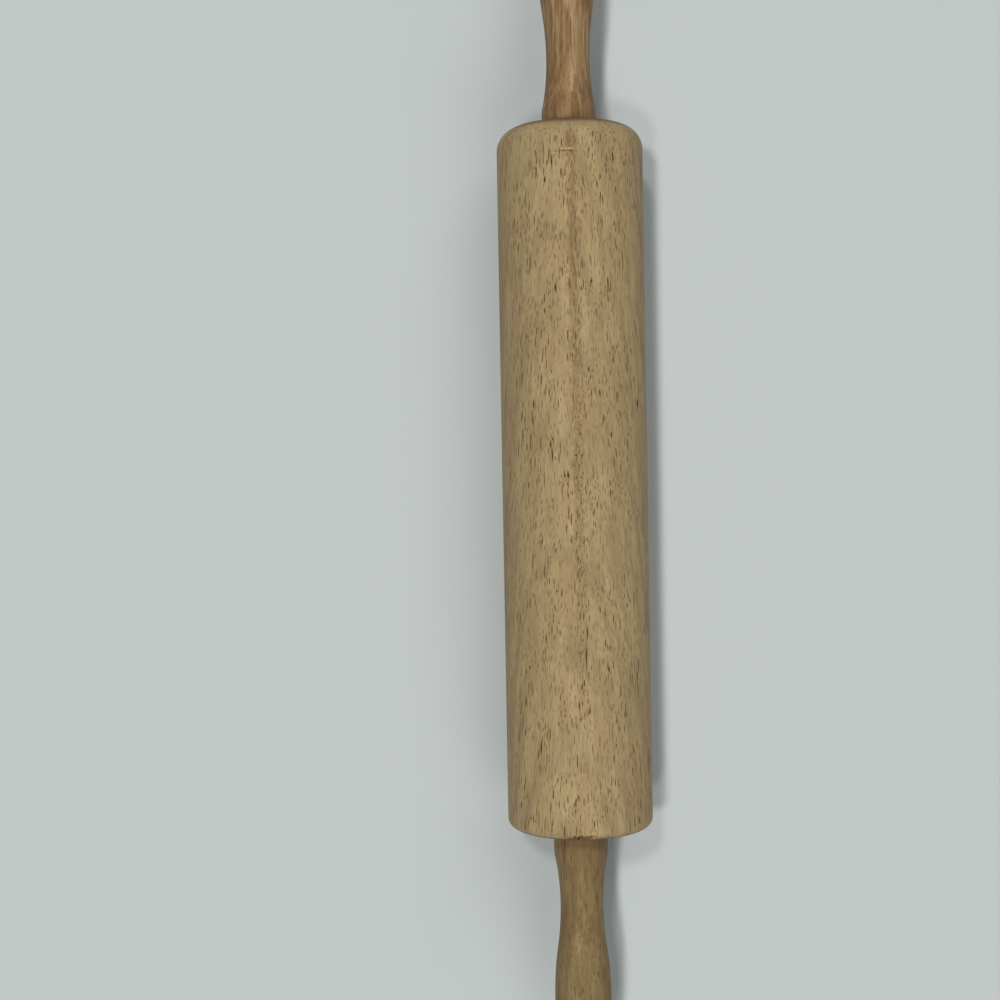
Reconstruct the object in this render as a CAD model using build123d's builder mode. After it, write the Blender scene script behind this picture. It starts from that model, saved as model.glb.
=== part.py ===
"""A handled wooden rolling pin, in millimetres.

A turned hardwood roller spins on a steel rod, in two moulded nylon bushings, between two
turned handles that are pressed onto the rod's ends. The rod's axis lies along Y, +Z points
up from the table, and the origin is on the axis, half-way between the roller's end faces.
"""

import os

from build123d import *

# Roller: a plain turned barrel, its rims rounded by hand on the lathe
roller_length = 254.0
roller_radius = 26.5
front_end_round = 3.2
rear_end_round = 8.0
rod_passage_clearance = 2.0

# Axle rod: bright steel, with pressed ridges near its ends that grip the handles
rod_radius = 4.0
rod_end_chamfer = 0.6
ridge_height = 0.2
ridge_length = 30.0
ridge_count = 16
ridge_sides = 4

# Bushings: nylon inserts, a flange and a ribbed sleeve round a hub that runs on the rod
running_clearance = 0.05
hub_wall = 1.8
sleeve_radius = 11.0
sleeve_wall = 1.5
sleeve_depth = 16.0
sleeve_lead_in = 0.8
web_thickness = 1.4
web_setback = 2.0
web_count = 6
flange_radius = 14.0
flange_thickness = 1.8
flange_proud = 0.2
flange_edge_chamfer = 0.4
crush_rib_width = 1.2
crush_rib_height = 0.3
crush_rib_count = 8
seat_end_gap = 1.0

# Thrust washers: plain steel rings, loose on the rod between bushing and handle
washer_radius = 8.0
washer_thickness = 1.6
washer_bore_clearance = 0.2
washer_edge_chamfer = 0.25
side_clearance = 0.1

# Handles: turned hardwood, a short land, a hollow neck, a swell and a domed end
handle_length = 88.0
land_radius = 9.85
front_land_length = 8.2
rear_land_length = 4.6
neck_radius = 7.85
neck_length = 19.1
swell_radius = 10.4
swell_length = 34.5
face_edge_round = 1.0
shoulder_round = 8.0
swell_turn_share = 0.45
dome_share = 0.77
rod_grip_depth = 48.0
bore_end_gap = 2.0
bore_mouth_chamfer = 0.6
bore_mouth_angle = 90

# Shared by every pressed fit
press_clearance = 0.02

# Places that follow from the sizes above
half_roller = roller_length / 2
handle_gap = flange_proud + side_clearance + washer_thickness + side_clearance
handle_start = half_roller + handle_gap
half_rod = handle_start + rod_grip_depth
recess_depth = flange_thickness - flange_proud
flange_back = half_roller - recess_depth
seat_radius = sleeve_radius + crush_rib_height + press_clearance
seat_depth = recess_depth + sleeve_depth + seat_end_gap
hub_radius = rod_radius + running_clearance + hub_wall
handle_bore_radius = rod_radius + ridge_height + press_clearance

# The two ends of the pin, as the sign of Y
FRONT = -1
REAR = 1


def facing_out(side, distance):
    """A plane square to the rod at this distance from the middle, facing outward."""
    return Plane(origin=(0, side * distance, 0), x_dir=(1, 0, 0), z_dir=(0, side, 0))


def facing_in(side, distance):
    """The same plane, facing the roller, so that a hole drilled there runs outward."""
    return Plane(origin=(0, side * distance, 0), x_dir=(1, 0, 0), z_dir=(0, -side, 0))


def beside_axis(side, distance):
    """A plane through the rod's axis: X is the radius, Y runs outward from the distance."""
    return Plane(origin=(0, side * distance, 0), x_dir=(1, 0, 0), z_dir=(0, 0, side))


def rim_at(piece, distance):
    """A piece's circular edge nearest to this distance from the middle of the pin."""
    circles = piece.edges().filter_by(GeomType.CIRCLE)
    return circles.sort_by(lambda edge: abs(abs(edge.center().Y) - distance))[0]


def keep(piece, name):
    """Label a finished piece and write it out."""
    piece.part.label = name
    export_step(piece.part, f"parts/{name}.step")


def make_bushing(side):
    """One nylon insert: its flange lies in the roller's face, its sleeve in the bore."""
    with BuildPart() as bushing:
        # Outer sleeve, bevelled at its inner end so that it starts into the bore
        with BuildSketch(facing_in(side, flange_back)):
            Circle(sleeve_radius)
        extrude(amount=sleeve_depth)
        chamfer(rim_at(bushing, flange_back - sleeve_depth), sleeve_lead_in)

        # The sleeve is cored out from its inner end, up to the back of the flange
        with BuildSketch(facing_in(side, flange_back)):
            Circle(sleeve_radius - sleeve_wall)
        extrude(amount=sleeve_depth, mode=Mode.SUBTRACT)

        # Flange, bevelled round its outer edge
        with BuildSketch(facing_out(side, flange_back)):
            Circle(flange_radius)
        extrude(amount=flange_thickness)
        chamfer(rim_at(bushing, flange_back + flange_thickness), flange_edge_chamfer)

        # Hub, as deep as the sleeve
        with BuildSketch(facing_in(side, flange_back)):
            Circle(hub_radius)
        extrude(amount=sleeve_depth)

        # Webs from hub to sleeve, set back from the inner end
        web_inner = hub_radius - hub_wall / 2
        web_outer = sleeve_radius - sleeve_wall / 2
        with BuildSketch(facing_in(side, flange_back)):
            with PolarLocations((web_inner + web_outer) / 2, web_count):
                Rectangle(web_outer - web_inner, web_thickness)
        extrude(amount=sleeve_depth - web_setback)

        # Crush ribs that bite into the wood, from the flange to the bevel
        rib_depth = crush_rib_height + sleeve_wall / 2
        with BuildSketch(facing_in(side, flange_back)):
            with PolarLocations(sleeve_radius + crush_rib_height - rib_depth / 2, crush_rib_count):
                Rectangle(rib_depth, crush_rib_width)
        extrude(amount=sleeve_depth - sleeve_lead_in)

        # Bearing bore, right through
        with Locations(facing_out(side, flange_back + flange_thickness)):
            Hole(rod_radius + running_clearance)
    return bushing


def make_washer(side):
    """One steel thrust washer, midway between the bushing's flange and the handle."""
    with BuildPart() as washer:
        with BuildSketch(facing_out(side, half_roller + flange_proud + side_clearance)):
            Circle(washer_radius)
            Circle(rod_radius + washer_bore_clearance, mode=Mode.SUBTRACT)
        extrude(amount=washer_thickness)
        rims = washer.edges().filter_by(GeomType.CIRCLE).group_by(SortBy.RADIUS)[-1]
        chamfer(rims, washer_edge_chamfer)
    return washer


def make_handle(side, land_length):
    """One turned handle: its outline is revolved, then it is bored for the rod."""
    shoulder = Vector(land_radius, land_length)
    neck = Vector(neck_radius, land_length + neck_length)
    swell = Vector(swell_radius, neck.Y + swell_length)
    tip = Vector(0, handle_length)
    # Two arcs, both along the rod at their far ends, meet on the line from neck to swell
    turn = neck + (swell - neck) * swell_turn_share
    # The tail's arc starts along the rod at the swell and runs into the round of the dome
    dome_radius = swell_radius * dome_share
    dome_centre = Vector(0, handle_length - dome_radius)
    tail_run = dome_centre.Y - swell.Y
    tail_radius = (swell_radius**2 + tail_run**2 - dome_radius**2) / (
        2 * (swell_radius - dome_radius)
    )
    tail_centre = swell - Vector(tail_radius, 0)
    dome_start = dome_centre + (dome_centre - tail_centre).normalized() * dome_radius
    with BuildPart() as handle:
        with BuildSketch(beside_axis(side, handle_start)):
            with BuildLine():
                Polyline(tip, (0, 0), (land_radius, 0), shoulder)
                TangentArc(neck, shoulder, tangent=(0, -1))
                TangentArc(neck, turn, tangent=(0, 1))
                TangentArc(swell, turn, tangent=(0, -1))
                TangentArc(swell, dome_start, tangent=(0, 1))
                TangentArc(tip, dome_start, tangent=(1, 0))
            make_face()
        revolve(axis=Axis.Y)
        fillet(rim_at(handle, handle_start + land_length), shoulder_round)
        fillet(rim_at(handle, handle_start), face_edge_round)
        with Locations(facing_in(side, handle_start)):
            CounterSinkHole(
                handle_bore_radius,
                handle_bore_radius + bore_mouth_chamfer,
                depth=rod_grip_depth + bore_end_gap,
                counter_sink_angle=bore_mouth_angle,
            )
    return handle


os.makedirs("parts", exist_ok=True)

# Roller, bored right through, with a flanged seat for a bushing at each end
with BuildPart() as roller:
    with BuildSketch(Plane.XZ):
        Circle(roller_radius)
    extrude(amount=half_roller, both=True)
    fillet(roller.edges().filter_by(GeomType.CIRCLE).sort_by(Axis.Y)[0], front_end_round)
    fillet(roller.edges().filter_by(GeomType.CIRCLE).sort_by(Axis.Y)[-1], rear_end_round)
    for side in (FRONT, REAR):
        with Locations(facing_out(side, half_roller)):
            CounterBoreHole(rod_radius + rod_passage_clearance, seat_radius, seat_depth)
        with BuildSketch(facing_in(side, half_roller)):
            Circle(flange_radius + press_clearance)
        extrude(amount=recess_depth, mode=Mode.SUBTRACT)
keep(roller, "roller")

# Axle rod, with ridges pressed up along both ends
with BuildPart() as axle_rod:
    with BuildSketch(Plane.XZ):
        Circle(rod_radius)
    extrude(amount=half_rod, both=True)
    chamfer(axle_rod.edges().filter_by(GeomType.CIRCLE), rod_end_chamfer)
    for side in (FRONT, REAR):
        with BuildSketch(facing_in(side, half_rod - rod_end_chamfer)):
            with PolarLocations(rod_radius, ridge_count):
                RegularPolygon(ridge_height, ridge_sides)
        extrude(amount=ridge_length)
keep(axle_rod, "axle_rod")

# Each end's bushing and washer, then its handle
for side, end, land_length in (
    (FRONT, "front", front_land_length),
    (REAR, "rear", rear_land_length),
):
    keep(make_bushing(side), f"{end}_bushing")
    keep(make_washer(side), f"{end}_washer")
    keep(make_handle(side, land_length), f"{end}_handle")
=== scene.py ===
"""The handled rolling pin, dressed: turned rubberwood, a bright steel rod, zinc-plated washers
and moulded nylon bushings, on a pale floor under soft overhead light."""

import math

import bpy
import numpy as np
from mathutils import Matrix


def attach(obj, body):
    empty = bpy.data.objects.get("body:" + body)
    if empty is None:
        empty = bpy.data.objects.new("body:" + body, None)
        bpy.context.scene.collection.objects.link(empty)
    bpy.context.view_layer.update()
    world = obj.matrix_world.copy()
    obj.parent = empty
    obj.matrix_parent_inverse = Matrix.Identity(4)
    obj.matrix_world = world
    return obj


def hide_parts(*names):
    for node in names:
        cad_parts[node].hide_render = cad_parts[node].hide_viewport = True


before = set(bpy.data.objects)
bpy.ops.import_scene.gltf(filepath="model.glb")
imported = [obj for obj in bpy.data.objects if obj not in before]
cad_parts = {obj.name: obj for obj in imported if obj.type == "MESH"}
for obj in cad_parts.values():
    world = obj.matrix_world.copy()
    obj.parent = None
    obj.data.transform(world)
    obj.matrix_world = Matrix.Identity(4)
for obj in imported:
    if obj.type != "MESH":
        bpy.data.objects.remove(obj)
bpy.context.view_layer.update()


# Roller
# A barrel of rubberwood, turned between centres and sanded, with no varnish. It is bored
# through for the rod, and each end face has a stepped seat for a bushing. The lathe left a
# short lip near the rear rim, and the front rim has a small bruise.
MM = 0.001
roller_half = 127.0 * MM
roller_radius = 26.5 * MM
front_round = 3.2 * MM
rear_round = 8.0 * MM
passage_radius = 6.0 * MM
seat_radius = 11.32 * MM
seat_depth = 18.6 * MM
recess_radius = 14.02 * MM
recess_depth = 1.6 * MM


def arc(centre, radius, start, end, steps):
    """Points (r, y) on a circle: centre + radius * (cos a, sin a), a from start to end degrees."""
    a = np.radians(np.linspace(start, end, steps))
    return np.array(centre) + radius * np.stack([np.cos(a), np.sin(a)], axis=1)


def run(start, end, steps):
    """Points spaced evenly on the straight line from start to end, without its last point."""
    share = np.linspace(0, 1, steps, endpoint=False)[:, None]
    return np.array(start) * (1 - share) + np.array(end) * share


def turned(name, outline, t, relief=0):
    """An outline of points (r, y) carried round the Y axis: x = (r + relief) sin t and
    z = (r + relief) cos t, where relief has a value for each point and angle. An outline that
    starts and ends on the axis gets a pole at each end, and any other is a closed loop."""
    poles = outline[0, 0] < 1e-9 and outline[-1, 0] < 1e-9
    rows = outline[1:-1] if poles else outline
    around = len(t)
    r = rows[:, :1] + relief + np.zeros(around)
    y = np.repeat(rows[:, 1:], around, axis=1)
    points = np.stack([r * np.sin(t), y, r * np.cos(t)], axis=-1).reshape(-1, 3)
    row = np.arange(len(rows) - 1 if poles else len(rows))[:, None]
    col = np.arange(around)[None, :]
    a = row * around + col
    b = row * around + (col + 1) % around
    c = ((row + 1) % len(rows)) * around + (col + 1) % around
    d = ((row + 1) % len(rows)) * around + col
    faces = np.stack([a, b, c, d], axis=-1).reshape(-1, 4).tolist()
    if poles:
        first, last = len(points), len(points) + 1
        points = np.vstack([points, [0, outline[0, 1], 0], [0, outline[-1, 1], 0]])
        end = (len(rows) - 1) * around
        near, far = np.arange(around), (np.arange(around) + 1) % around
        faces += np.stack([np.full(around, first), far, near], axis=1).tolist()
        faces += np.stack([np.full(around, last), end + near, end + far], axis=1).tolist()
    mesh = bpy.data.meshes.new(name)
    mesh.from_pydata(points.tolist(), [], faces)
    mesh.polygons.foreach_set("use_smooth", np.ones(len(faces), bool))
    mesh.set_sharp_from_angle(angle=math.radians(35))
    piece = bpy.data.objects.new(name, mesh)
    bpy.context.scene.collection.objects.link(piece)
    return piece


def srgb(code):
    """An sRGB hex value as linear RGBA."""
    c = np.array([int(code[i:i + 2], 16) for i in (1, 3, 5)]) / 255
    return (*np.where(c <= 0.04045, c / 12.92, ((c + 0.055) / 1.055) ** 2.4), 1.0)


def add(tree, kind, settings=None, inputs=None):
    """Adds a node. Settings are its properties, and inputs its values or the sockets linked in."""
    made = tree.nodes.new(kind)
    for key, value in (settings or {}).items():
        setattr(made, key, value)
    for key, value in (inputs or {}).items():
        if isinstance(value, bpy.types.NodeSocket):
            tree.links.new(value, made.inputs[key])
        else:
            made.inputs[key].default_value = value
    return made


def rubberwood(name, pale, deep, flush, pore_and_rim_shade, end_tone_and_shade, lean, seed, pore_share, streak_share):
    """Rubberwood, turned, sanded and left bare: soft satin, straight grain, and open vessels
    that show as short dark dashes where the surface cuts across them and as long hair lines
    where it runs beside them. The pattern is solid: every vessel is a thin tube along the
    fibres, which lean by lean degrees from the axis towards +Z."""
    material = bpy.data.materials.new(name)
    material.use_nodes = True
    tree = material.node_tree
    shader = tree.nodes["Principled BSDF"]
    place = add(tree, "ShaderNodeTexCoord")

    # The fibre frame, in millimetres: Y runs along the fibres
    fibre = add(tree, "ShaderNodeMapping", {"vector_type": "TEXTURE"}, {
        "Vector": place.outputs["Object"],
        "Location": [s * MM for s in seed],
        "Rotation": (math.radians(lean), 0, 0),
        "Scale": (MM, MM, MM),
    })

    # Fibres wander sideways by up to a millimetre over some 40 mm, and less over shorter runs
    bend_size = (16, 42, 16)
    sway = (3.2, 0, 3.2)
    bends = add(tree, "ShaderNodeMapping", {"vector_type": "TEXTURE"}, {
        "Vector": fibre.outputs[0], "Scale": bend_size,
    })
    wander = add(tree, "ShaderNodeTexNoise", None, {
        "Vector": bends.outputs[0], "Scale": 1.0, "Detail": 4.0,
    })
    centred = add(tree, "ShaderNodeVectorMath", {"operation": "SUBTRACT"}, {
        0: wander.outputs["Color"], 1: (0.5, 0.5, 0.5),
    })
    sideways = add(tree, "ShaderNodeVectorMath", {"operation": "MULTIPLY"}, {
        0: centred.outputs[0], 1: sway,
    })
    grain = add(tree, "ShaderNodeVectorMath", {"operation": "ADD"}, {
        0: fibre.outputs[0], 1: sideways.outputs[0],
    })
    split = add(tree, "ShaderNodeSeparateXYZ", None, {0: grain.outputs[0]})
    across = add(tree, "ShaderNodeCombineXYZ", None, {
        "X": split.outputs["X"], "Y": split.outputs["Z"],
    })

    # Vessels, large and small: tubes at a spacing, of a radius and in runs of a length, all in
    # mm, and how dark the darkest are. Real ones are about half as wide, and are drawn coarser
    # here so that they show. They crowd in some patches and are sparse in others.
    vessels = ((1.0, 0.21, 9.0, 1.0), (0.6, 0.13, 6.0, 0.9))
    crowd_size = (5, 22, 5)
    crowds = add(tree, "ShaderNodeMapping", {"vector_type": "TEXTURE"}, {
        "Vector": fibre.outputs[0], "Scale": crowd_size,
    })
    crowd = add(tree, "ShaderNodeTexNoise", None, {
        "Vector": crowds.outputs[0], "Scale": 1.0, "Detail": 1.0,
    })
    crowding = add(tree, "ShaderNodeMapRange", None, {
        "Value": crowd.outputs[0], "From Min": 0.38, "From Max": 0.58, "To Min": 0.45,
    })
    masks = []
    for spacing, radius, length, darkest in vessels:
        cells = add(tree, "ShaderNodeTexVoronoi", {"voronoi_dimensions": "2D"}, {
            "Vector": across.outputs[0], "Scale": 1 / spacing, "Randomness": 1.0,
        })
        tone = add(tree, "ShaderNodeSeparateColor", None, {0: cells.outputs["Color"]})
        # Each tube's runs start at a place of their own
        phase_spread = 97.0
        phase = add(tree, "ShaderNodeMath", {"operation": "MULTIPLY"}, {
            0: tone.outputs["Red"], 1: phase_spread,
        })
        course = add(tree, "ShaderNodeMath", {"operation": "MULTIPLY_ADD"}, {
            0: split.outputs["Y"], 1: 1 / length, 2: phase.outputs[0],
        })
        breaks = add(tree, "ShaderNodeTexNoise", {"noise_dimensions": "1D"}, {
            "W": course.outputs[0], "Scale": 1.0, "Detail": 0.0,
        })
        open_part = add(tree, "ShaderNodeMapRange", {"interpolation_type": "SMOOTHSTEP"}, {
            "Value": breaks.outputs[0], "From Min": 0.45, "From Max": 0.50,
        })
        narrowing = add(tree, "ShaderNodeMapRange", None, {
            "Value": tone.outputs["Blue"], "To Min": 0.75, "To Max": 1.6,
        })
        reach = add(tree, "ShaderNodeMath", {"operation": "MULTIPLY"}, {
            0: cells.outputs["Distance"], 1: narrowing.outputs[0],
        })
        wall = add(tree, "ShaderNodeMapRange", {"interpolation_type": "SMOOTHSTEP"}, {
            "Value": reach.outputs[0],
            "From Min": 1.2 * radius / spacing, "From Max": 0.8 * radius / spacing,
        })
        depth = add(tree, "ShaderNodeMapRange", None, {
            "Value": tone.outputs["Green"],
            "To Min": 0.4 * darkest, "To Max": darkest,
        })
        part = add(tree, "ShaderNodeMath", {"operation": "MULTIPLY"}, {
            0: wall.outputs[0], 1: open_part.outputs[0],
        })
        mask = add(tree, "ShaderNodeMath", {"operation": "MULTIPLY"}, {
            0: part.outputs[0], 1: depth.outputs[0],
        })
        masks.append(mask.outputs[0])
    deepest = add(tree, "ShaderNodeMath", {"operation": "MAXIMUM"}, {0: masks[0], 1: masks[1]})
    pores = add(tree, "ShaderNodeMath", {"operation": "MULTIPLY"}, {
        0: deepest.outputs[0], 1: crowding.outputs[0],
    })

    # Tone: broad patches of paler and deeper wood, then streaks, then single fibres. Real fibres
    # are far finer, and are drawn coarser here so that they show.
    patch_size, streak_size, fibre_size = (6, 30, 6), (1.6, 55, 1.6), (0.42, 6, 0.42)
    layers = []
    for size, detail in ((patch_size, 3.0), (streak_size, 2.0), (fibre_size, 2.0)):
        spread = add(tree, "ShaderNodeMapping", {"vector_type": "TEXTURE"}, {
            "Vector": grain.outputs[0], "Scale": size,
        })
        layer = add(tree, "ShaderNodeTexNoise", None, {
            "Vector": spread.outputs[0], "Scale": 1.0, "Detail": detail,
        })
        layers.append(layer.outputs[0])
    patches, streaks, fibres = layers
    patch = add(tree, "ShaderNodeMapRange", {"interpolation_type": "SMOOTHSTEP"}, {
        "Value": patches, "From Min": 0.36, "From Max": 0.64,
    })
    streak = add(tree, "ShaderNodeMapRange", None, {
        "Value": streaks, "From Min": 0.40, "From Max": 0.60,
        "To Min": 0.0, "To Max": streak_share,
    })
    ground = add(tree, "ShaderNodeMix", {"data_type": "RGBA"}, {
        "Factor": patch.outputs[0], 6: srgb(pale), 7: srgb(flush),
    })
    streaked = add(tree, "ShaderNodeMix", {"data_type": "RGBA"}, {
        "Factor": streak.outputs[0], 6: ground.outputs[2], 7: srgb(deep),
    })

    # Growth rings round the pith, which lay below the blank: each ends in a thin darker line
    ring_width = 4.5
    pith = (6, -64, 0)
    from_pith = add(tree, "ShaderNodeVectorMath", {"operation": "DISTANCE"}, {
        0: across.outputs[0], 1: pith,
    })
    ring_count = add(tree, "ShaderNodeMath", {"operation": "MULTIPLY_ADD"}, {
        0: from_pith.outputs["Value"], 1: 1 / ring_width, 2: patches,
    })
    ring = add(tree, "ShaderNodeMath", {"operation": "FRACT"}, {0: ring_count.outputs[0]})
    ring_tone = add(tree, "ShaderNodeMapRange", {"interpolation_type": "SMOOTHSTEP"}, {
        "Value": ring.outputs[0], "From Min": 0.35, "To Min": 1.02, "To Max": 0.90,
    })
    ringed = add(tree, "ShaderNodeMix", {"data_type": "RGBA", "blend_type": "MULTIPLY"}, {
        "Factor": 1.0, 6: streaked.outputs[2], 7: ring_tone.outputs[0],
    })
    fine = add(tree, "ShaderNodeMapRange", None, {
        "Value": fibres, "From Min": 0.3, "From Max": 0.7, "To Min": 0.90, "To Max": 1.10,
    })
    toned = add(tree, "ShaderNodeMix", {"data_type": "RGBA", "blend_type": "MULTIPLY"}, {
        "Factor": 1.0, 6: ringed.outputs[2], 7: fine.outputs[0],
    })

    # Where the surface turns to face along the pin, sanding dust has half filled the vessels
    facing = add(tree, "ShaderNodeSeparateXYZ", None, {0: place.outputs["Normal"]})
    turned_away = add(tree, "ShaderNodeMath", {"operation": "ABSOLUTE"}, {0: facing.outputs["Y"]})
    still_open = add(tree, "ShaderNodeMapRange", None, {
        "Value": turned_away.outputs[0], "From Min": 0.15, "From Max": 0.60,
        "To Min": pore_share, "To Max": 0.4 * pore_share,
    })
    pore_strength = add(tree, "ShaderNodeMath", {"operation": "MULTIPLY"}, {
        0: pores.outputs[0], 1: still_open.outputs[0],
    })
    colour = add(tree, "ShaderNodeMix", {"data_type": "RGBA"}, {
        "Factor": pore_strength.outputs[0], 6: toned.outputs[2], 7: srgb(pore_and_rim_shade),
    })

    # End grain drinks in light and is darker. The same darkening is also painted shade on the ends'
    # rounded rims and faces, which turn away from the overhead light.
    end_grain_and_shade = add(tree, "ShaderNodeMapRange", {"interpolation_type": "SMOOTHSTEP"}, {
        "Value": turned_away.outputs[0], "From Min": 0.55, "From Max": 0.98, "To Max": 0.45,
    })
    shaded = add(tree, "ShaderNodeMix", {"data_type": "RGBA"}, {
        "Factor": end_grain_and_shade.outputs[0], 6: colour.outputs[2], 7: srgb(end_tone_and_shade),
    })

    # Painted shade on the rims, just short of where they turn into the flat faces: a dark band in
    # the pore colour where the rounding turns away from the light
    onto_rim_shade = add(tree, "ShaderNodeMapRange", {"interpolation_type": "SMOOTHSTEP"}, {
        "Value": turned_away.outputs[0], "From Min": 0.66, "From Max": 0.90, "To Max": 0.65,
    })
    off_rim_shade = add(tree, "ShaderNodeMapRange", {"interpolation_type": "SMOOTHSTEP"}, {
        "Value": turned_away.outputs[0], "From Min": 0.92, "From Max": 1.0,
        "To Min": 1.0, "To Max": 0.3,
    })
    rim_shade = add(tree, "ShaderNodeMath", {"operation": "MULTIPLY"}, {
        0: onto_rim_shade.outputs[0], 1: off_rim_shade.outputs[0],
    })
    rim_shaded = add(tree, "ShaderNodeMix", {"data_type": "RGBA"}, {
        "Factor": rim_shade.outputs[0], 6: shaded.outputs[2], 7: srgb(pore_and_rim_shade),
    })

    # Vessels are small troughs and single fibres stand a hair proud
    trough_depth = 0.1 * MM
    ridge_share = 0.25
    ridges = add(tree, "ShaderNodeMath", {"operation": "MULTIPLY"}, {0: fibres, 1: ridge_share})
    height = add(tree, "ShaderNodeMath", {"operation": "SUBTRACT"}, {
        0: ridges.outputs[0], 1: pore_strength.outputs[0],
    })
    bump = add(tree, "ShaderNodeBump", None, {
        "Strength": 0.5, "Distance": trough_depth, "Height": height.outputs[0],
    })
    rough = add(tree, "ShaderNodeMapRange", None, {
        "Value": fibres, "From Min": 0.3, "From Max": 0.7, "To Min": 0.50, "To Max": 0.60,
    })
    tree.links.new(rim_shaded.outputs[2], shader.inputs["Base Color"])
    tree.links.new(rough.outputs[0], shader.inputs["Roughness"])
    tree.links.new(bump.outputs[0], shader.inputs["Normal"])
    shader.inputs["IOR"].default_value = 1.5
    shader.inputs["Specular Tint"].default_value = srgb(pale)
    return material


tool_mark = 114.4 * MM
bruise = -125.4 * MM
fine_reach = 3 * MM
roller_outline = np.vstack([
    arc((roller_radius - front_round, front_round - roller_half), front_round, -90, 0, 21)[:-1],
    run((roller_radius, front_round - roller_half), (roller_radius, tool_mark - fine_reach), 120),
    run((roller_radius, tool_mark - fine_reach), (roller_radius, tool_mark + fine_reach), 50),
    run((roller_radius, tool_mark + fine_reach), (roller_radius, roller_half - rear_round), 4),
    arc((roller_radius - rear_round, roller_half - rear_round), rear_round, 0, 90, 25),
    [
        (recess_radius, roller_half), (recess_radius, roller_half - recess_depth),
        (seat_radius, roller_half - recess_depth), (seat_radius, roller_half - seat_depth),
        (passage_radius, roller_half - seat_depth), (passage_radius, seat_depth - roller_half),
        (seat_radius, seat_depth - roller_half), (seat_radius, recess_depth - roller_half),
        (recess_radius, recess_depth - roller_half), (recess_radius, -roller_half),
    ],
])
# The rings crowd round the tool mark, and the angles round the top
roller_around = 240
crowding_share = 0.6
steps = np.linspace(0, 2 * np.pi, roller_around, endpoint=False)
angles = steps - crowding_share * np.sin(steps)


def dent(outline, t, place, reach, turn, spread, depth):
    """A hollow in the turned skin: depth * exp(-(y - place)^2 / reach^2 - (t - turn)^2 / spread^2),
    with t measured round either way from the top."""
    off_top = (t - turn + np.pi) % (2 * np.pi) - np.pi
    outside = (outline[:, :1] > roller_radius / 2)
    along = np.exp(-((outline[:, 1:] - place) / reach) ** 2)
    return -depth * outside * along * np.exp(-(off_top / spread) ** 2)


relief = dent(
    roller_outline, angles,
    place=tool_mark, reach=0.3 * MM, turn=-0.07, spread=0.14, depth=0.16 * MM,
) + dent(
    roller_outline, angles,
    place=bruise, reach=0.7 * MM, turn=-0.02, spread=0.11, depth=0.30 * MM,
)
roller = turned("roller_turned", roller_outline, angles, relief)
# The end tone is darker end grain and painted shade, and the pore colour also paints the shade on
# the rims.
roller_wood = rubberwood(
    "rubberwood_turned_sanded", pale="#B19B72", deep="#8C734F", flush="#A8916B", pore_and_rim_shade="#442307",
    end_tone_and_shade="#6A5034", lean=7.5, seed=(13, 40, 5), pore_share=1.0, streak_share=0.25,
)

# Marks in the roller's wood, as ellipsoids: where the blank's growth rings lie flat along the
# top, a faint brown band, browner to the rear, with a row of dark flecks; a burnished spot
# beside the tool mark; the mark's dark groove and pale edge; and the bruise. Centres and half
# sizes are in mm. Then come the colour, the share of it that covers the wood in the middle, and
# whether the edge is plain or ragged, or the whole mark broken up into flecks.
marks = [
    ((-0.3, 22, 26), (3.2, 135, 9), "#7A6344", 0.42, "ragged"),
    ((-0.8, 84, 26), (2.4, 46, 9), "#765D3C", 0.5, "ragged"),
    ((0.4, 0, 26), (2.0, 118, 9), "#3C2814", 0.85, "flecked"),
    ((-1.2, 117.5, 26), (3.2, 5.5, 9), "#7A5A3C", 0.7, "ragged"),
    ((-2.4, 114.1, 26), (6.5, 0.5, 9), "#6A4A2C", 0.7, "ragged"),
    ((-1.6, 114.8, 26), (3.2, 0.4, 9), "#C9AE86", 0.8, "ragged"),
    ((-1.7, -125.9, 26), (7.0, 1.5, 3), "#401B11", 1.0, "ragged"),
]
# The widest vessels stand out by themselves: x, y, length and width of each, in mm. A plain
# mark fades to half at 0.6 of its half size, so that size is 0.8 of the vessel's length or width.
vessel_half_share = 0.8
wide_vessels = (
    (-3.5, 1.4, 2.0, 0.7), (-6.9, 66.8, 3.0, 0.7), (-9.5, 12.3, 2.6, 0.6),
    (-10.0, 104.5, 2.4, 0.7), (1.7, -62.2, 8.5, 0.45), (5.7, 69.0, 2.2, 0.5),
    (-8.9, 8.5, 4.4, 0.5), (-15.1, 26.5, 3.0, 0.6), (22.0, 26.5, 3.0, 1.3),
    (-7.5, 110.5, 4.0, 0.5), (2.2, -53.5, 3.8, 0.45), (11.9, 15.4, 2.2, 0.6),
)
for x, y, length, width in wide_vessels:
    z = math.sqrt((roller_radius / MM) ** 2 - x**2)
    half = [vessel_half_share * size for size in (width, length, width)]
    marks.append(((x, y, z), half, "#341906", 1.0, "plain"))
rag_size = (0.8 * MM, 3.5 * MM, 0.8 * MM)
fleck_size = (0.5 * MM, 1.5 * MM, 0.5 * MM)
full_cover, no_cover = 0.6, 1.6
plain_bite = 0.5
tree = roller_wood.node_tree
shader = tree.nodes["Principled BSDF"]
place = add(tree, "ShaderNodeTexCoord")
ragged = add(tree, "ShaderNodeMapping", {"vector_type": "TEXTURE"}, {
    "Vector": place.outputs["Object"], "Scale": rag_size,
})
rag = add(tree, "ShaderNodeTexNoise", None, {
    "Vector": ragged.outputs[0], "Scale": 1.0, "Detail": 4.0,
})
bite = add(tree, "ShaderNodeMapRange", None, {
    "Value": rag.outputs[0], "From Min": 0.3, "From Max": 0.7, "To Max": 1.1,
})
short = add(tree, "ShaderNodeMapping", {"vector_type": "TEXTURE"}, {
    "Vector": place.outputs["Object"], "Scale": fleck_size,
})
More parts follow.
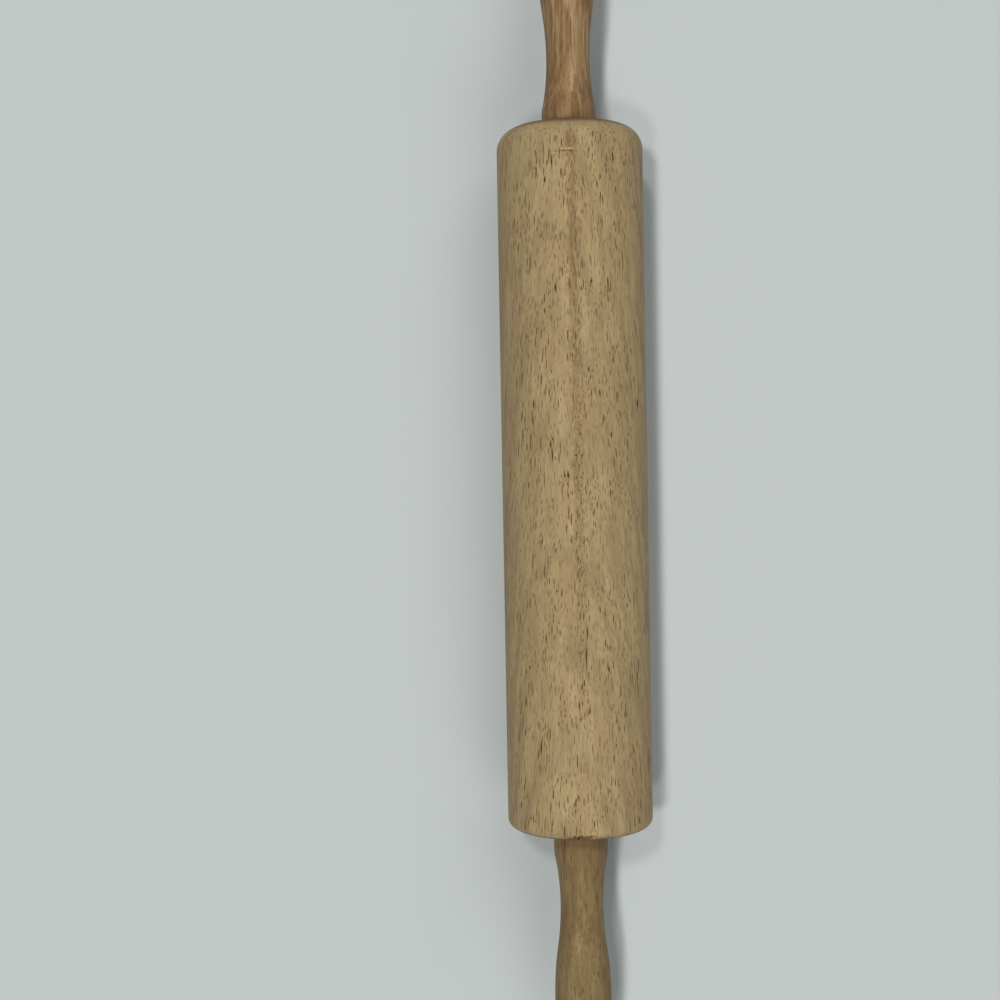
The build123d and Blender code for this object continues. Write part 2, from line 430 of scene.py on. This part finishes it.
chips = add(tree, "ShaderNodeTexNoise", None, {
    "Vector": short.outputs[0], "Scale": 1.0, "Detail": 2.0,
})
fleck = add(tree, "ShaderNodeMapRange", {"interpolation_type": "SMOOTHSTEP"}, {
    "Value": chips.outputs[0], "From Min": 0.56, "From Max": 0.63,
})
for centre, half, tint, share, edge in marks:
    spot = add(tree, "ShaderNodeMapping", {"vector_type": "TEXTURE"}, {
        "Vector": place.outputs["Object"],
        "Location": [c * MM for c in centre], "Scale": [h * MM for h in half],
    })
    distance = add(tree, "ShaderNodeVectorMath", {"operation": "LENGTH"}, {0: spot.outputs[0]})
    rough_edge = add(tree, "ShaderNodeMath", {"operation": "ADD"}, {
        0: distance.outputs["Value"], 1: plain_bite if edge == "plain" else bite.outputs[0],
    })
    inside = add(tree, "ShaderNodeMapRange", {"interpolation_type": "SMOOTHSTEP"}, {
        "Value": rough_edge.outputs[0], "From Min": no_cover, "From Max": full_cover,
        "To Max": share,
    })
    cover = inside.outputs[0]
    if edge == "flecked":
        broken = add(tree, "ShaderNodeMath", {"operation": "MULTIPLY"}, {
            0: cover, 1: fleck.outputs[0],
        })
        cover = broken.outputs[0]
    under = shader.inputs["Base Color"].links[0].from_socket
    marked = add(tree, "ShaderNodeMix", {"data_type": "RGBA"}, {
        "Factor": cover, 6: under, 7: srgb(tint),
    })
    tree.links.new(marked.outputs[2], shader.inputs["Base Color"])
roller.data.materials.append(roller_wood)
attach(roller, "spinning_roller")
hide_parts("roller")


# Bushings
# Two inserts moulded in natural nylon and pressed into the roller's ends. Only the flange
# shows, as a thin milky ring round the handle. The nodes keep their shape.
def natural_nylon():
    """Moulded natural nylon: milky, a little translucent, with a faint mould grain."""
    material = bpy.data.materials.new("natural_nylon_moulded")
    material.use_nodes = True
    tree = material.node_tree
    shader = tree.nodes["Principled BSDF"]
    grain_size = 0.8 * MM
    grain_height = 0.02 * MM
    place = add(tree, "ShaderNodeTexCoord")
    cloud = add(tree, "ShaderNodeTexNoise", None, {
        "Vector": place.outputs["Object"], "Scale": 1 / grain_size, "Detail": 2.0,
    })
    tint = add(tree, "ShaderNodeMix", {"data_type": "RGBA"}, {
        "Factor": cloud.outputs[0], 6: srgb("#D9D5C6"), 7: srgb("#E4E1D6"),
    })
    bump = add(tree, "ShaderNodeBump", None, {
        "Strength": 0.2, "Distance": grain_height, "Height": cloud.outputs[0],
    })
    tree.links.new(tint.outputs[2], shader.inputs["Base Color"])
    tree.links.new(bump.outputs[0], shader.inputs["Normal"])
    shader.inputs["IOR"].default_value = 1.53
    shader.inputs["Roughness"].default_value = 0.42
    shader.inputs["Subsurface Weight"].default_value = 0.15
    shader.inputs["Subsurface Scale"].default_value = 1.5 * MM
    return material


def dress(name, material):
    """Gives its material to a node that keeps its own shape."""
    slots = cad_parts[name].data.materials
    slots.clear()
    slots.append(material)


nylon = natural_nylon()
for name in ("front_bushing", "rear_bushing"):
    dress(name, nylon)


# Rod and washers
# The rod is bright drawn steel, and the washers are stamped steel with a dull zinc plating.
# A washer's edge shows in the narrow gap between roller and handle.
def drawn_steel(name, colour, roughness, line_size):
    """Steel with fine lines left by drawing, or the fine grain of a plating: a grey metal whose
    reflections are blurred unevenly. Real lines are finer, and are drawn coarser to show."""
    material = bpy.data.materials.new(name)
    material.use_nodes = True
    tree = material.node_tree
    shader = tree.nodes["Principled BSDF"]
    line_height = 0.01 * MM
    place = add(tree, "ShaderNodeTexCoord")
    lines = add(tree, "ShaderNodeMapping", {"vector_type": "TEXTURE"}, {
        "Vector": place.outputs["Object"], "Scale": line_size,
    })
    noise = add(tree, "ShaderNodeTexNoise", None, {
        "Vector": lines.outputs[0], "Scale": 1.0, "Detail": 2.0,
    })
    rough = add(tree, "ShaderNodeMapRange", None, {
        "Value": noise.outputs[0], "To Min": roughness * 0.8, "To Max": roughness * 1.2,
    })
    bump = add(tree, "ShaderNodeBump", None, {
        "Strength": 0.2, "Distance": line_height, "Height": noise.outputs[0],
    })
    tree.links.new(rough.outputs[0], shader.inputs["Roughness"])
    tree.links.new(bump.outputs[0], shader.inputs["Normal"])
    shader.inputs["Base Color"].default_value = srgb(colour)
    shader.inputs["Metallic"].default_value = 1.0
    return material


dress("axle_rod", drawn_steel(
    "steel_bright_drawn", "#C4C4C2", roughness=0.28, line_size=(0.15 * MM, 6 * MM, 0.15 * MM),
))
zinc = drawn_steel(
    "steel_zinc_plated", "#B9BCBF", roughness=0.4, line_size=(0.3 * MM, 0.3 * MM, 0.3 * MM),
)
for name in ("front_washer", "rear_washer"):
    dress(name, zinc)


# Handles
# Two rubberwood handles, turned to a land, a hollow neck, a swell and a domed end, bored
# and pressed onto the rod. The rear one is the redder of the two.
handle_gap = 2.0 * MM
handle_start = roller_half + handle_gap
handle_length = 88.0 * MM
land_radius = 9.85 * MM
neck_radius = 7.85 * MM
neck_length = 19.1 * MM
swell_radius = 10.4 * MM
swell_length = 34.5 * MM
swell_turn_share = 0.45
dome_share = 0.77
dome_radius = swell_radius * dome_share
face_round = 1.0 * MM
bore_radius = 4.22 * MM
bore_mouth = 0.6 * MM
bore_depth = 50.0 * MM


def tangent_arc(start, end, steps):
    """Points on the arc that leaves start along the Y axis and ends at end, without its last."""
    dr, dy = end[0] - start[0], end[1] - start[1]
    radius = (dr * dr + dy * dy) / (2 * dr)
    centre = (start[0] + radius, start[1])
    inward = radius - dr if radius > 0 else dr - radius
    sweep = math.degrees(math.atan2(dy, inward))
    if radius > 0:
        return arc(centre, radius, 180, 180 - sweep, steps)[:-1]
    return arc(centre, -radius, 0, sweep, steps)[:-1]


def handle_outline(land_length):
    """The handle's outline (r, y), from the bore's bottom out to its mouth and on to the tip."""
    shoulder = (land_radius, land_length)
    neck = (neck_radius, land_length + neck_length)
    swell = (swell_radius, neck[1] + swell_length)
    turn = tuple(np.array(neck) + (np.array(swell) - neck) * swell_turn_share)
    tail_run = handle_length - dome_radius - swell[1]
    tail_radius = (swell_radius**2 + tail_run**2 - dome_radius**2) / (
        2 * (swell_radius - dome_radius)
    )
    tail_angle = math.degrees(math.atan2(tail_run, tail_radius - swell_radius))
    outline = np.vstack([
        [(0, bore_depth), (bore_radius, bore_depth), (bore_radius, bore_mouth),
         (bore_radius + bore_mouth, 0)],
        arc((land_radius - face_round, face_round), face_round, -90, 0, 7)[:-1],
        run((land_radius, face_round), shoulder, 6),
        tangent_arc(neck, shoulder, 25)[::-1],
        tangent_arc(neck, turn, 20)[1:],
        tangent_arc(swell, turn, 20)[::-1],
        arc((swell_radius - tail_radius, swell[1]), tail_radius, 0, tail_angle, 24)[1:-1],
        arc((0, handle_length - dome_radius), dome_radius, tail_angle, 90, 20),
    ])
    outline[-1, 0] = 0
    return outline


# Each end tone is darker end grain and painted shade, and each pore colour also paints the shade on
# the rims.
handle_woods = {
    "front": rubberwood(
        "rubberwood_handle_front", pale="#93805A", deep="#6A5233", flush="#846B4A", pore_and_rim_shade="#3E2A16",
        end_tone_and_shade="#5E4A30", lean=5, seed=(31, 7, 3), pore_share=0.8, streak_share=0.3,
    ),
    "rear": rubberwood(
        "rubberwood_handle_rear", pale="#B2966F", deep="#785B3E", flush="#947552", pore_and_rim_shade="#4E321A",
        end_tone_and_shade="#6A4A30", lean=4, seed=(57, 2, 11), pore_share=0.7, streak_share=0.85,
    ),
}
handle_around = 96
handle_angles = np.linspace(0, 2 * np.pi, handle_around, endpoint=False)
for end, side, land_length in (("front", -1, 8.2 * MM), ("rear", 1, 4.6 * MM)):
    outline = handle_outline(land_length) + (0, handle_start)
    if side < 0:
        outline = outline[::-1] * (1, -1)
    handle = turned(f"{end}_handle_turned", outline, handle_angles)
    handle.data.materials.append(handle_woods[end])
    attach(handle, "grips")
    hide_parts(f"{end}_handle")


# Floor
# A plain pale table top that runs to the horizon, where it meets a backdrop of its own tone.
floor_reach = 30.0
floor_tone = "#C6CCCA"
floor_bounce = "#7B7E7C"
stipple_size = 3 * MM
stipple_height = 0.05 * MM
bpy.ops.mesh.primitive_plane_add(size=2 * floor_reach, location=(0, 0, -roller_radius))
floor = bpy.context.object
floor.name = "floor"
table_top = bpy.data.materials.new("table_top_painted_satin")
table_top.use_nodes = True
floor_tree = table_top.node_tree
floor_shader = floor_tree.nodes["Principled BSDF"]
floor_place = add(floor_tree, "ShaderNodeTexCoord")
stipple = add(floor_tree, "ShaderNodeTexNoise", None, {
    "Vector": floor_place.outputs["Object"], "Scale": 1 / stipple_size, "Detail": 3.0,
})
orange_peel = add(floor_tree, "ShaderNodeBump", None, {
    "Strength": 0.15, "Distance": stipple_height, "Height": stipple.outputs[0],
})


def looked_at(tree):
    """A factor that is 1 where the camera sees a surface, also in a mirror or through glass."""
    path = add(tree, "ShaderNodeLightPath")
    direct = add(tree, "ShaderNodeMath", {"operation": "MAXIMUM"}, {
        0: path.outputs["Is Camera Ray"], 1: path.outputs["Is Transmission Ray"],
    })
    mirrored = add(tree, "ShaderNodeMath", {"operation": "MAXIMUM"}, {
        0: direct.outputs[0], 1: path.outputs["Is Glossy Ray"],
    })
    return mirrored.outputs[0]


# What is seen of the floor is the pale tone. The light that it passes back up onto the pin's
# underside is that of a darker sheet, as it is in a large room.
floor_tint = add(floor_tree, "ShaderNodeMix", {"data_type": "RGBA"}, {
    "Factor": looked_at(floor_tree), 6: srgb(floor_bounce), 7: srgb(floor_tone),
})
floor_tree.links.new(floor_tint.outputs[2], floor_shader.inputs["Base Color"])
floor_tree.links.new(orange_peel.outputs[0], floor_shader.inputs["Normal"])
floor_shader.inputs["Roughness"].default_value = 0.75
floor_shader.inputs["Specular IOR Level"].default_value = 0.15
floor.data.materials.append(table_top)

backdrop = bpy.data.worlds.new("studio")
backdrop.use_nodes = True
world_tree = backdrop.node_tree
dim = world_tree.nodes["Background"]
dim.inputs["Color"].default_value = srgb("#F2F6FA")
dim.inputs["Strength"].default_value = 0.06
seen = add(world_tree, "ShaderNodeBackground", None, {"Color": srgb(floor_tone), "Strength": 1.0})
either = add(world_tree, "ShaderNodeMixShader", None, {
    0: looked_at(world_tree), 1: dim.outputs[0], 2: seen.outputs[0],
})
world_tree.links.new(either.outputs[0], world_tree.nodes["World Output"].inputs["Surface"])
bpy.context.scene.world = backdrop


# Light
# Ceiling lamps, far enough off to light the whole table evenly: a row of three narrow ones to
# the left, whose shadows overlap beside the pin and part at its ends, and two broad ones to
# the right.
def lamps(name, off_left, off_front, spread, level):
    """Distant lamps, tilted from straight up by degrees to the left and to the front. At a level
    of 1 they alone light a surface that faces them to the colour that it is written with."""
    sun = bpy.data.lights.new(name, "SUN")
    sun.energy = math.pi * level
    sun.angle = math.radians(spread)
    holder = bpy.data.objects.new(name, sun)
    holder.rotation_euler = (math.radians(off_front), math.radians(-off_left), 0)
    bpy.context.scene.collection.objects.link(holder)


lamps("left_middle", off_left=15.5, off_front=-1, spread=6, level=0.31)
lamps("left_rear", off_left=12.5, off_front=-24, spread=6, level=0.20)
lamps("left_front", off_left=14, off_front=20, spread=6, level=0.15)
lamps("right_front", off_left=-25, off_front=38, spread=40, level=0.19)
lamps("right_rear", off_left=-25, off_front=-38, spread=40, level=0.19)


# Camera
# Almost straight down from above the pin's left, as the photograph was taken.
camera_place = (-27.5 * MM, 4.4 * MM, 548.7 * MM)
camera_pitch = 1.22
camera_roll = 1.02
focal_pixels = 1500
frame_pixels = 1000
eye = bpy.data.cameras.new("camera")
eye.sensor_width = 36
eye.lens = eye.sensor_width * focal_pixels / frame_pixels
camera = bpy.data.objects.new("camera", eye)
camera.matrix_world = (
    Matrix.Translation(camera_place)
    @ Matrix.Rotation(math.radians(-camera_pitch), 4, "X")
    @ Matrix.Rotation(math.radians(-camera_roll), 4, "Z")
)
bpy.context.scene.collection.objects.link(camera)
bpy.context.scene.camera = camera
bpy.context.scene.view_settings.view_transform = "Standard"
